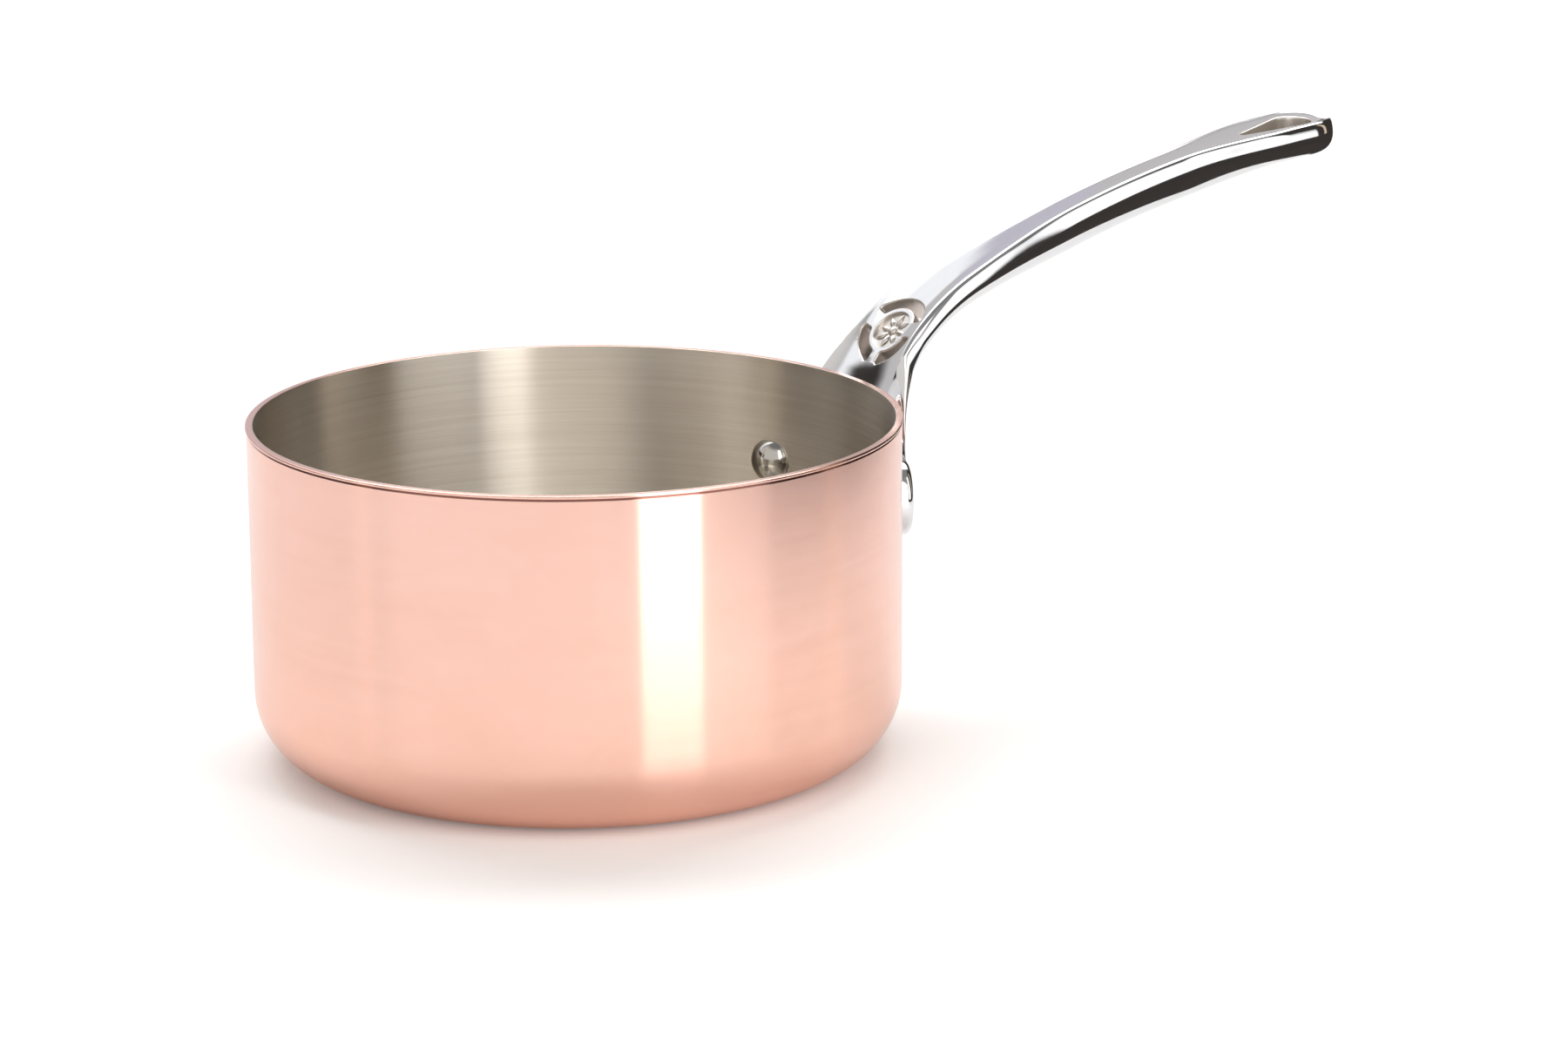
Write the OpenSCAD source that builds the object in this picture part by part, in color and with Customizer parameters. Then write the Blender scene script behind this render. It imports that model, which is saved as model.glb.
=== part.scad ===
// Saucepan of copper lined with stainless steel, with a cast handle held by two rivets.
// Millimetres. The origin is the centre of the underside, +Z is up, and the handle
// points along +X. The pan is symmetrical about the XZ plane.

/* [Pan] */
// Inside diameter at the wall
pan_bore_d = 200; // [160:1:280]
// Height from the underside to the top of the rim
pan_h = 108; // [85:1:180]
// Thickness of the copper
copper_t = 1.8; // [1.2:0.1:3]
// Thickness of the steel lining
lining_t = 0.2; // [0.2:0.1:0.6]
// Outside radius where the wall turns into the bottom
corner_r = 23; // [10:1:35]
// How far the lip stands out from the wall
lip_out = 0.4; // [0.2:0.1:1.5]
// Height of the lip
lip_h = 1.2; // [1:0.1:4]

/* [Handle] */
// Length of the top face, from the wall to the tip
arm_len = 213; // [170:1:260]
// Depth below the rim at which the top face leaves the wall
root_drop = 5.3; // [4:0.1:12]
// Slope of the top face where it leaves the wall, in degrees
neck_rise = 56; // [45:1:62]
// Length of the straight slope before the bend
neck_straight = 8; // [4:1:14]
// Radius of the bend
neck_bend_r = 82; // [60:1:110]
// Slope where the bend runs into the arm, in degrees
arm_rise = 23.5; // [18:0.5:30]
// Radius of the long curve of the arm
arm_bend_r = 450; // [400:5:900]
// Width of the top face at the wall
root_w = 40; // [34:1:48]
// Width of the top face at the neck
neck_w = 28.6; // [27:0.2:34]
// Width of the top face at the shoulder
shoulder_w = 22; // [16:0.5:26]
// Width of the top face at the waist
waist_w = 10.6; // [8:0.2:18]
// Width of the top face round the hanging eye
eye_w = 21.4; // [20:0.2:28]
// Depth of the hollow in the top face at the neck
neck_dish = 1.4; // [0:0.1:2]
// How far each side swells out beyond the top face
side_swell = 3; // [1.5:0.1:5]
// Depth of the body at the wall
root_depth = 12; // [9:0.5:16]
// Depth of the body at the neck
neck_depth = 10; // [8:0.5:14]
// Depth of the body in the grip
grip_depth = 15; // [11:0.5:20]
// Depth of the body at the hanging eye
eye_depth = 13; // [9:0.5:18]

/* [Hanging eye] */
// Diameter of the round end of the eye
eye_d = 14; // [10:0.5:16]
// Distance from the round end's centre to the point of the eye
eye_taper = 22; // [14:1:30]
// Metal between the eye and the tip
eye_rim = 7.5; // [5:0.5:12]

/* [Medallion] */
// Outside diameter of the medallion's ring
medal_d = 16.4; // [14:0.1:17]
// Width of the ring
medal_ring_w = 1; // [0.6:0.1:1.6]
// Depth of the field inside the ring
medal_sink = 1; // [0.5:0.1:1.5]
// Diameter of the boss in the middle
medal_boss_d = 4.4; // [3:0.2:7]
// Distance from the wall to the medallion's centre, along the top face
medal_pos = 25; // [24:0.5:32]
// Width of the openings round the medallion
opening_w = 4; // [3:0.1:4.5]
// Metal left between the ring and the openings
opening_gap = 1; // [0.6:0.1:1.6]
// Width of the web on each side of the medallion
side_web_w = 6.4; // [4:0.1:8]
// Width of the web on the pan's side of the medallion
foot_web_w = 4; // [3:0.1:6]

/* [Flange and rivets] */
// Thickness of the flange
flange_t = 5; // [3:0.5:7]
// Radius of each lobe of the flange
lobe_r = 12.5; // [11:0.5:15]
// Height of a lobe's centre above its rivet
lobe_rise = 2; // [0:0.5:4]
// Distance between the two rivets, across the handle
rivet_span = 69; // [60:1:76]
// Depth of the rivets below the rim
rivet_drop = 34.5; // [30:0.5:45]
// Diameter of a rivet's shank
shank_d = 6.5; // [5:0.5:8]
// Diameter of the domed head inside the pan
head_d = 14.5; // [11:0.5:17]
// Height of the domed head
head_h = 5; // [3:0.5:6]
// Diameter of the tail that is formed on the flange
tail_d = 10; // [8:0.5:13]
// Height of the formed tail
tail_h = 1.4; // [1:0.1:2.5]

/* [Hidden] */
$fn = 96;
// How far a cut runs past the face it opens
over = 1;

bore_r = pan_bore_d / 2;
wall_r = bore_r + lining_t + copper_t;
lip_r = wall_r + lip_out;
lip_edge_r = min(0.8, lip_h * 0.45);
rivet_z = pan_h - rivet_drop;
rivet_angle = asin(rivet_span / 2 / bore_r);

// The solid inside a pan's skin: radius, corner radius, base height and top height
module pan_section(r, corner, base, top) {
    translate([0, base]) square([r - corner, top - base]);
    translate([0, base + corner]) square([r, top - base - corner]);
    translate([r - corner, base + corner]) circle(corner);
}

module lip_section() {
    bottom = pan_h - lip_h;
    inner = bore_r + lining_t;
    translate([inner, bottom + lip_edge_r]) square([lip_r - inner, lip_h - 2 * lip_edge_r]);
    translate([inner, bottom]) square([lip_r - lip_edge_r - inner, lip_h]);
    for (z = [bottom + lip_edge_r, pan_h - lip_edge_r])
        translate([lip_r - lip_edge_r, z]) circle(lip_edge_r);
}

// Places a rivet's own axis, which points out of the pan, on the pan
module at_rivet(side) {
    rotate([0, 0, side * rivet_angle]) translate([0, 0, rivet_z]) rotate([0, 90, 0]) children();
}

module rivet_holes() {
    for (side = [-1, 1])
        at_rivet(side) cylinder(d = shank_d, h = wall_r + flange_t + tail_h + over);
}

module copper_shell() {
    color("#c9805f") difference() {
        rotate_extrude() {
            pan_section(wall_r, corner_r, 0, pan_h);
            lip_section();
        }
        rotate_extrude()
            pan_section(bore_r + lining_t, corner_r - copper_t, copper_t, pan_h + over);
        rivet_holes();
    }
}

module steel_lining() {
    skin = copper_t + lining_t;
    color("#a39a8e") difference() {
        rotate_extrude() pan_section(bore_r + lining_t, corner_r - copper_t, copper_t, pan_h);
        rotate_extrude() pan_section(bore_r, corner_r - skin, skin, pan_h + over);
        rivet_holes();
    }
}

// The top face's centre line: a straight slope, a bend and a long curve, each tangent
// to the one before. All three functions take the distance along it from the wall.
deg = 180 / PI;
bend_len = neck_bend_r * (neck_rise - arm_rise) / deg;
bend_end = neck_straight + bend_len;
function slope(s) =
    s < neck_straight ? neck_rise :
    s < bend_end ? neck_rise - (s - neck_straight) / neck_bend_r * deg :
    arm_rise - (s - bend_end) / arm_bend_r * deg;
function arc_step(r, from, to) = [r * (sin(from) - sin(to)), r * (cos(to) - cos(from))];
bend_start_at = [wall_r, pan_h - root_drop] + neck_straight * [cos(neck_rise), sin(neck_rise)];
bend_end_at = bend_start_at + arc_step(neck_bend_r, neck_rise, arm_rise);
function centre(s) =
    s < neck_straight ? bend_start_at + (s - neck_straight) * [cos(neck_rise), sin(neck_rise)] :
    s < bend_end ? bend_start_at + arc_step(neck_bend_r, neck_rise, slope(s)) :
    bend_end_at + arc_step(arm_bend_r, arm_rise, slope(s));

// Sections along the arm: distance from the wall, width of the top face, depth
sections = [
    [0, root_w, root_depth],
    [medal_pos, neck_w, neck_depth],
    [58, shoulder_w, neck_depth + (grip_depth - neck_depth) * 0.4],
    [100, waist_w + 2, grip_depth],
    [arm_len - 65, waist_w, grip_depth],
    [arm_len - 25, eye_w, eye_depth],
    [arm_len, eye_w, eye_depth]];

// A smooth curve through the sections that never overshoots them
function rise(i, c) =
    (sections[i + 1][c] - sections[i][c]) / (sections[i + 1][0] - sections[i][0]);
function tangent(i, c) =
    i == 0 || i == len(sections) - 1 ? 0 :
    rise(i - 1, c) * rise(i, c) <= 0 ? 0 :
    2 * rise(i - 1, c) * rise(i, c) / (rise(i - 1, c) + rise(i, c));
function span_of(s, i = 0) = i >= len(sections) - 2 || s < sections[i + 1][0] ? i : span_of(s, i + 1);
function eased(s, i, c, t, h) =
    (2 * t ^ 3 - 3 * t ^ 2 + 1) * sections[i][c] + (t ^ 3 - 2 * t ^ 2 + t) * h * tangent(i, c)
    + (3 * t ^ 2 - 2 * t ^ 3) * sections[i + 1][c] + (t ^ 3 - t ^ 2) * h * tangent(i + 1, c);
function between(s, c) =
    let (i = span_of(s), h = sections[i + 1][0] - sections[i][0])
    s <= 0 ? sections[0][c] : eased(s, i, c, (s - sections[i][0]) / h, h);

// The tip is rounded in plan and, less, in height
tip_r = eye_w / 2 + side_swell;
function tip_share(s) = max(0, (s - arm_len + tip_r) / tip_r);
function plan_scale(s) = sqrt(1 - min(1, tip_share(s)) ^ 2);
function depth_scale(s) = (1 - min(1, tip_share(s)) ^ 4) ^ 0.25;

// One section of the body: a hollowed top, a flank that swells out, and a round belly.
// Points are [across, above the top face], from the left edge round the belly and back
// over the hollow. The hollow is shallower where the top face is narrower.
flank_share = 0.38;
flank_steps = 4;
belly_steps = 12;
hollow_steps = 8;
function hollow(w) = neck_dish * w / neck_w;
function section_points(w, d) =
    let (flank = d * flank_share)
    concat(
        [for (k = [0 : flank_steps - 1]) let (a = 90 * k / flank_steps)
            [w / 2 + side_swell * sin(a), flank * (cos(a) - 1)]],
        [for (k = [0 : belly_steps]) let (a = 180 * k / belly_steps)
            [(w / 2 + side_swell) * cos(a), -flank - (d - flank) * sin(a)]],
        [for (k = [flank_steps - 1 : -1 : 0]) let (a = 90 * k / flank_steps)
            [-w / 2 - side_swell * sin(a), flank * (cos(a) - 1)]],
        [for (k = [1 : hollow_steps - 1]) let (v = 2 * k / hollow_steps - 1)
            [v * w / 2, -hollow(w) * (1 - abs(v) ^ 3)]]);

// The section at a distance from the wall, placed in space
tip_drop_share = 0.45;
function ring(s) =
    let (d = between(s, 2), a = slope(s), c = centre(s),
         sink = (1 - depth_scale(s)) * d * tip_drop_share)
    [for (p = section_points(between(s, 1), d))
        let (n = p[1] * depth_scale(s) - sink)
        [c[0] - n * sin(a), p[0] * plan_scale(s), c[1] + n * cos(a)]];

// The body starts inside the wall, where its underside is hidden as well
hidden_len = root_depth / tan(neck_rise) + root_depth;
body_steps = 44;
tip_steps = 8;
tip_reach = 88;
stations = concat(
    [for (k = [0 : body_steps]) -hidden_len + (arm_len - tip_r + hidden_len) * k / body_steps],
    [for (k = [1 : tip_steps]) arm_len - tip_r + tip_r * sin(tip_reach * k / tip_steps)]);

module arm_body() {
    rings = [for (s = stations) ring(s)];
    n = len(rings[0]);
    last = len(rings) - 1;
    middles = [for (r = [rings[0], rings[last]]) [for (p = r) 1 / n] * r];
    sides = [for (i = [0 : last - 1], j = [0 : n - 1]) let (k = (j + 1) % n)
        each [[i * n + j, (i + 1) * n + k, (i + 1) * n + j],
              [i * n + j, i * n + k, (i + 1) * n + k]]];
    start = len(rings) * n;
    start_cap = [for (j = [0 : n - 1]) [start, (j + 1) % n, j]];
    end_cap = [for (j = [0 : n - 1]) [start + 1, last * n + j, last * n + (j + 1) % n]];
    polyhedron(points = concat([for (r = rings) each r], middles),
               faces = concat(sides, start_cap, end_cap));
}

// Places something on the top face, with X along the arm and Z out of the face
module on_top_face(s) {
    c = centre(s);
    translate([c[0], 0, c[1]]) rotate([0, -slope(s), 0]) children();
}

// A circle drawn out to a point, by the two tangents from that point
module teardrop(r, reach) {
    a = acos(r / reach);
    circle(r);
    polygon([[-reach, 0], [-r * cos(a), r * sin(a)], [0, 0], [-r * cos(a), -r * sin(a)]]);
}

module hanging_eye() {
    on_top_face(arm_len - eye_rim - eye_d / 2)
        translate([0, 0, -2 * eye_depth]) linear_extrude(3 * eye_depth)
            teardrop(eye_d / 2, eye_taper);
}

module medallion_openings() {
    inner_r = medal_d / 2 + opening_gap;
    outer_r = inner_r + opening_w;
    on_top_face(medal_pos) {
        translate([0, 0, -2.5 * neck_depth]) linear_extrude(3 * neck_depth) difference() {
            teardrop(outer_r, outer_r * 1.16);
            circle(inner_r);
            for (web = [[-81, side_web_w], [81, side_web_w], [180, foot_web_w]])
                rotate(web[0]) translate([0, -web[1] / 2]) square([2 * outer_r, web[1]]);
        }
        translate([0, 0, -hollow(between(medal_pos, 1)) - medal_sink]) difference() {
            cylinder(d = medal_d - 2 * medal_ring_w, h = neck_depth);
            cylinder(d = medal_boss_d, h = medal_sink / 2);
        }
    }
}

// The flange lies against the wall. Its outline is drawn as seen along the handle.
neck_side = root_w / 2 + side_swell;
module flange_outline() {
    lobe_y = wall_r * sin(rivet_angle);
    lobe_z = rivet_z + lobe_rise;
    top_z = pan_h - lip_h - over;
    // The shoulder runs down the neck's side and sweeps out to the top of the lobe
    touch = [lobe_y, lobe_z] + lobe_r * [cos(80), sin(80)];
    bend = [neck_side + 1, touch[1] + (touch[0] - neck_side - 1) * tan(10)];
    shoulder = [for (t = [0 : 0.1 : 1])
        (1 - t) ^ 2 * [neck_side, top_z] + 2 * t * (1 - t) * bend + t ^ 2 * touch];
    for (side = [-1, 1]) {
        translate([side * lobe_y, lobe_z]) circle(lobe_r);
        polygon([[0, top_z], for (p = shoulder) [side * p[0], p[1]],
                 [side * lobe_y, lobe_z], [0, lobe_z]]);
    }
    translate([-lobe_y, lobe_z - lobe_r]) square([2 * lobe_y, lobe_r]);
}

module flange() {
    intersection() {
        cylinder(r = wall_r + flange_t, h = pan_h);
        rotate([90, 0, 90]) linear_extrude(wall_r + flange_t) flange_outline();
    }
}

module handle() {
    color("#d3d5da") difference() {
        union() {
            arm_body();
            flange();
        }
        translate([0, 0, -over]) cylinder(r = wall_r, h = pan_h + 2 * over);
        medallion_openings();
        hanging_eye();
        rivet_holes();
    }
}

// A domed end of a rivet. The dome stands on z = 0, and its side goes on down by skirt.
module dome(d, h, skirt) {
    ball_r = (d * d / 4 + h * h) / (2 * h);
    rotate_extrude() intersection() {
        translate([0, h - ball_r]) circle(ball_r);
        translate([0, -skirt]) square([d / 2, h + skirt]);
    }
}

// The head's underside follows the lining, and the tail's follows the flange
module rivet(side) {
    flange_r = wall_r + flange_t;
    color("#b9b7b4") {
        intersection() {
            at_rivet(side) translate([0, 0, bore_r]) rotate([180, 0, 0]) dome(head_d, head_h, over);
            cylinder(r = bore_r, h = pan_h);
        }
        difference() {
            at_rivet(side) translate([0, 0, flange_r]) dome(tail_d, tail_h, over);
            cylinder(r = flange_r, h = pan_h);
        }
        at_rivet(side) translate([0, 0, bore_r - head_h / 2])
            cylinder(d = shank_d, h = head_h / 2 + flange_r - bore_r + tail_h / 2);
    }
}

module rivet_left() { rivet(1); }
module rivet_right() { rivet(-1); }

copper_shell();
steel_lining();
handle();
rivet_left();
rivet_right();
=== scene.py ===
"""A copper saucepan with a brushed steel lining and a cast steel handle held by two rivets.

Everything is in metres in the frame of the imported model: the centre of the underside is the
origin, +Z is up, and the handle points along +X.
"""
import math

import bpy
import numpy as np
from mathutils import Matrix, Vector


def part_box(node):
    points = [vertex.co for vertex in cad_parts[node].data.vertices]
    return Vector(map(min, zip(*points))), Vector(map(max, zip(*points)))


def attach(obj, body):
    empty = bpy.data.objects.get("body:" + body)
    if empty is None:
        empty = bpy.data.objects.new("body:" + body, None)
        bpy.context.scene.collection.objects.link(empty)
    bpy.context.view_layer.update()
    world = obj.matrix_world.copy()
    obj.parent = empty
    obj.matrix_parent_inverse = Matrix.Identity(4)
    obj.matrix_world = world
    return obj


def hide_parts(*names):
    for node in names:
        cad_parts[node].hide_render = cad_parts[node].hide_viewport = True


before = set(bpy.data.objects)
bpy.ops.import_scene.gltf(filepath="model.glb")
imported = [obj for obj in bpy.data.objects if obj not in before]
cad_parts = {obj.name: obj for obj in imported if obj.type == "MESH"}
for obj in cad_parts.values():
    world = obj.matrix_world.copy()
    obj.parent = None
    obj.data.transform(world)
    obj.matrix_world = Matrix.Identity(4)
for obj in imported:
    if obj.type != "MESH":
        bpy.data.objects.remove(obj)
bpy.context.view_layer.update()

MM = 0.001

# ---------------------------------------------------------------- sizes

# Pan
PAN_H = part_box("copper_shell")[1].z
LIP_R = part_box("copper_shell")[1].x
BORE_R = 100 * MM
LINING_T = 0.2 * MM
COPPER_T = 1.8 * MM
WALL_R = BORE_R + LINING_T + COPPER_T
CORNER_R = 23 * MM
LIP_H = 1.0 * MM
LIP_EDGE_R = 0.5 * MM
GROOVE_DEPTH = 0.15 * MM
GROOVE_H = 0.7 * MM

# Handle
ARM_LEN = 213 * MM
ROOT_DROP = 5.3 * MM
NECK_RISE = math.radians(56)
NECK_STRAIGHT = 8 * MM
NECK_BEND_R = 82 * MM
ARM_RISE = math.radians(23.5)
ARM_BEND_R = 450 * MM
NECK_W = 28.6 * MM
NECK_DISH = 1.4 * MM
SIDE_SWELL = 3 * MM
FLANK_SHARE = 0.38
EYE_D = 14 * MM
EYE_TAPER = 22 * MM
EYE_RIM = 7.5 * MM
EYE_POINT_R = 1.4 * MM
EYE_POINT_LOSS = 2 * MM
EYE_LIP = 0.7 * MM
# Distance from the wall, width of the top face and depth of the body
SECTIONS = np.array([
    [0, 40, 12], [25, 28.6, 10], [58, 22, 12], [100, 12.6, 15],
    [148, 10.6, 15], [188, 21.4, 13], [213, 21.4, 13]]) * MM
TIP_R = SECTIONS[-1, 1] / 2 + SIDE_SWELL
TIP_DROP_SHARE = 0.45
EDGE_ROUND = 0.35 * MM
SWELL_FADE = 32 * MM
ROOT_SWELL = 0.35
# Along the arm: where the flange's rows end, and the step from ring to ring
ROOT_END = 17 * MM
ARM_STEP = 0.9 * MM

# Medallion
MEDAL_D = 16.4 * MM
MEDAL_RING_W = 1 * MM
MEDAL_SINK = 1 * MM
MEDAL_POS = 25 * MM
OPENING_W = 4 * MM
OPENING_GAP = 1 * MM
OPENING_REACH = 1.16
OPENING_CORNER_R = 1.3 * MM
OPENING_CORNER_RUN = 1.9 * MM
OPENING_LIP = 0.5 * MM
SIDE_WEB_W = 6.4 * MM
SIDE_WEB_ANGLE = math.radians(81)
FOOT_WEB_W = 4 * MM
FIELD_LIP = 0.35 * MM
MEDAL_FLOOR = -NECK_DISH - MEDAL_SINK
PETALS = 8
PETAL_RING_R = 4.2 * MM
PETAL_HALF_LEN = 2.3 * MM
PETAL_HALF_W = 1.05 * MM
PETAL_H = 0.62 * MM
PETAL_FOOT = 0.15 * MM
BOSS_R = 1.7 * MM
BOSS_H = 0.9 * MM

# Flange and rivets
FLANGE_T = 5 * MM
LOBE_R = 12.5 * MM
LOBE_RISE = 2 * MM
SHOULDER_OUT = 1 * MM
SHOULDER_FALL = math.radians(10)
PILLOW_R = 2.2 * MM
SEAT_R = 6 * MM
FLANGE_HUB = np.array([0, 84 * MM])
RIVET_SPAN = 69 * MM
RIVET_Z = PAN_H - 34.5 * MM
RIVET_ANGLE = math.asin(RIVET_SPAN / 2 / BORE_R)
SHANK_D = 6.5 * MM
HEAD_D = 14.5 * MM
HEAD_H = 5 * MM
TAIL_D = 10 * MM
TAIL_H = 1.4 * MM

# How finely things are drawn
PAN_SEGMENTS = 320
RIVET_SEGMENTS = 96
PROFILE_STEP = 4 * MM
PROFILE_ARC = 12
OUTLINE_STEP = 0.4 * MM
WELD = 1e-6
FLANK_STEPS, BELLY_STEPS, EDGE_STEPS, TOP_STEPS = 20, 90, 4, 30
ROOT_ROWS = 34
RIM_ROWS = 8
PATCH_RINGS = 12
TIP_RINGS = 34
LIP_STEPS = 6


# ---------------------------------------------------------------- outlines and meshes

def rounded(corners, steps=10):
    """A polyline through corners (x, y, radius), with an arc of steps parts at each radius."""
    points = []
    for i, (x, y, r) in enumerate(corners):
        here = np.array([x, y])
        if r <= 0 or i in (0, len(corners) - 1):
            points.append(here)
            continue
        back = np.array(corners[i - 1][:2]) - here
        on = np.array(corners[i + 1][:2]) - here
        back, on = back / np.linalg.norm(back), on / np.linalg.norm(on)
        half = math.acos(float(np.clip(back @ on, -1, 1))) / 2
        middle = (back + on) / np.linalg.norm(back + on) * r / math.sin(half)
        sweep = math.pi / 2 - half
        across = (on - back) / np.linalg.norm(on - back)
        for k in range(steps + 1):
            a = sweep * (2 * k / steps - 1)
            inward = -middle / np.linalg.norm(middle)
            points.append(here + middle + r * (math.cos(a) * inward + math.sin(a) * across))
    return np.array(points)


def stepped(points, longest):
    """The same polyline, with its long runs cut into steps no longer than the given length."""
    out = [points[0]]
    for a, b in zip(points[:-1], points[1:]):
        parts = max(1, math.ceil(np.linalg.norm(b - a) / longest))
        out += [a + (b - a) * k / parts for k in range(1, parts + 1)]
    return np.array(out)


def eased(t):
    """A share from 0 to 1 that starts and ends gently."""
    return t * t * (3 - 2 * t)


def tube_faces(rows, n):
    """The faces between rows of points, where each row is a closed loop of n."""
    return [(i * n + j, i * n + (j + 1) % n, (i + 1) * n + (j + 1) % n, (i + 1) * n + j)
            for i in range(rows - 1) for j in range(n)]


def volume_of(mesh):
    """Signed volume: negative where the faces point inwards."""
    mesh.calc_loop_triangles()
    co = np.empty(len(mesh.vertices) * 3)
    mesh.vertices.foreach_get("co", co)
    tri = np.empty(len(mesh.loop_triangles) * 3, np.int32)
    mesh.loop_triangles.foreach_get("vertices", tri)
    a, b, c = np.moveaxis(co.reshape(-1, 3)[tri.reshape(-1, 3)], 1, 0)
    return float(np.einsum("ij,ij->", a, np.cross(b, c))) / 6


def new_object(name, vertices, faces=()):
    """A piece from its points and faces, with the faces turned outwards."""
    mesh = bpy.data.meshes.new(name)
    mesh.from_pydata([tuple(map(float, v)) for v in vertices], [], list(faces))
    mesh.validate()
    if faces and volume_of(mesh) < 0:
        mesh.flip_normals()
    piece = bpy.data.objects.new(name, mesh)
    bpy.context.scene.collection.objects.link(piece)
    return piece


def smooth(piece, sharp_over=math.radians(32)):
    """Turns the faces outwards and shades them smooth, except across edges sharper than that."""
    mesh = piece.data
    if volume_of(mesh) < 0:
        mesh.flip_normals()
    mesh.shade_smooth()
    mesh.set_sharp_from_angle(angle=sharp_over)
    return piece


def applied(piece):
    """Leaves a piece with the plain mesh that its modifiers give."""
    depsgraph = bpy.context.evaluated_depsgraph_get()
    result = bpy.data.meshes.new_from_object(piece.evaluated_get(depsgraph))
    piece.modifiers.clear()
    old, piece.data = piece.data, result
    bpy.data.meshes.remove(old)
    result.name = piece.name
    return piece


# ---------------------------------------------------------------- node trees

class Tree:
    """A node tree that is built by calls: add() gives a new node, and out() its output."""

    def __init__(self, tree):
        self.tree = tree

    def add(self, kind, settings=None, sockets=None):
        node = self.tree.nodes.new(kind)
        for name, value in (settings or {}).items():
            setattr(node, name, value)
        for name, value in (sockets or {}).items():
            socket = node.inputs[name]
            if isinstance(value, Socket):
                value = value.socket
            if isinstance(value, bpy.types.NodeSocket):
                self.tree.links.new(value, socket)
            else:
                socket.default_value = value
        return node

    def out(self, kind, settings=None, sockets=None, output=0):
        return Socket(self, self.add(kind, settings, sockets).outputs[output])


class Socket:
    """An output socket that takes part in arithmetic: each operator adds its Math node."""

    def __init__(self, tree, socket):
        self.tree, self.socket = tree, socket

    def math(self, operation, *others, clamp=False):
        return self.tree.out("ShaderNodeMath", {"operation": operation, "use_clamp": clamp},
                             dict(enumerate((self,) + others)))

    def __add__(self, other):
        return self.math("ADD", other)

    def __sub__(self, other):
        return self.math("SUBTRACT", other)

    def __rsub__(self, other):
        return (self * -1).math("ADD", other)

    def __mul__(self, other):
        return self.math("MULTIPLY", other)

    def __truediv__(self, other):
        return self.math("DIVIDE", other)

    __radd__ = __add__
    __rmul__ = __mul__

    def clamped(self):
        return self.math("ADD", 0.0, clamp=True)

    def ramp(self, low, high, to_low=0.0, to_high=1.0):
        """A smooth step from to_low at low to to_high at high."""
        return self.tree.out("ShaderNodeMapRange", {"interpolation_type": "SMOOTHSTEP"},
                             {"Value": self, "From Min": low, "From Max": high,
                              "To Min": to_low, "To Max": to_high})


def group_tree(name, inputs):
    """A Geometry Nodes tree with a geometry input and the named inputs (name, type, value)."""
    group = bpy.data.node_groups.new(name, "GeometryNodeTree")
    face = group.interface
    face.new_socket("Geometry", in_out="INPUT", socket_type="NodeSocketGeometry")
    for label, kind, value in inputs:
        socket = face.new_socket(label, in_out="INPUT", socket_type="NodeSocket" + kind)
        if value is not None:
            socket.default_value = value
    face.new_socket("Geometry", in_out="OUTPUT", socket_type="NodeSocketGeometry")
    tree = Tree(group)
    given = tree.add("NodeGroupInput").outputs
    return tree, {s.name: Socket(tree, s) for s in given if s.name}


def finished(tree, geometry, material):
    """Ends a tree: instances realised, the material set, and the result sent out."""
    real = tree.out("GeometryNodeRealizeInstances", None, {"Geometry": geometry})
    painted = tree.out("GeometryNodeSetMaterial", None, {"Geometry": real, "Material": material})
    tree.add("NodeGroupOutput", None, {"Geometry": painted})
    return tree.tree


def made_by(piece, group, values):
    """Runs a Geometry Nodes tree on a piece, and leaves it with the plain mesh that comes out."""
    modifier = piece.modifiers.new(group.name, "NODES")
    modifier.node_group = group
    for item in group.interface.items_tree:
        if item.in_out == "INPUT" and item.name in values:
            modifier[item.identifier] = values[item.name]
    return applied(piece)


# ---------------------------------------------------------------- lathed pan

def lathe_group():
    """Turns a profile, drawn as points in the XZ plane, about the Z axis."""
    tree, given = group_tree("Lathe", [("Segments", "Int", 256), ("Weld Distance", "Float", WELD),
                                       ("Material", "Material", None)])
    count = tree.out("GeometryNodeAttributeDomainSize", {"component": "MESH"},
                     {"Geometry": given["Geometry"]})
    turns = given["Segments"] + 1
    sheet = tree.out("GeometryNodeMeshGrid", None, {"Vertices X": count, "Vertices Y": turns})
    index = tree.out("GeometryNodeInputIndex")
    along = index.math("DIVIDE", turns).math("FLOOR")
    angle = index.math("MODULO", turns) / given["Segments"] * math.tau
    place = tree.out("GeometryNodeInputPosition")
    at = tree.out("GeometryNodeSampleIndex", {"data_type": "FLOAT_VECTOR"},
                  {"Geometry": given["Geometry"], "Index": along, "Value": place})
    parts = tree.add("ShaderNodeSeparateXYZ", None, {"Vector": at})
    radius, height = Socket(tree, parts.outputs["X"]), Socket(tree, parts.outputs["Z"])
    turned = tree.out("ShaderNodeCombineXYZ", None,
                      {"X": radius * angle.math("COSINE"), "Y": radius * angle.math("SINE"),
                       "Z": height})
    moved = tree.out("GeometryNodeSetPosition", None, {"Geometry": sheet, "Position": turned})
    welded = tree.out("GeometryNodeMergeByDistance", None,
                      {"Geometry": moved, "Distance": given["Weld Distance"]})
    return finished(tree, welded, given["Material"])


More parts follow.
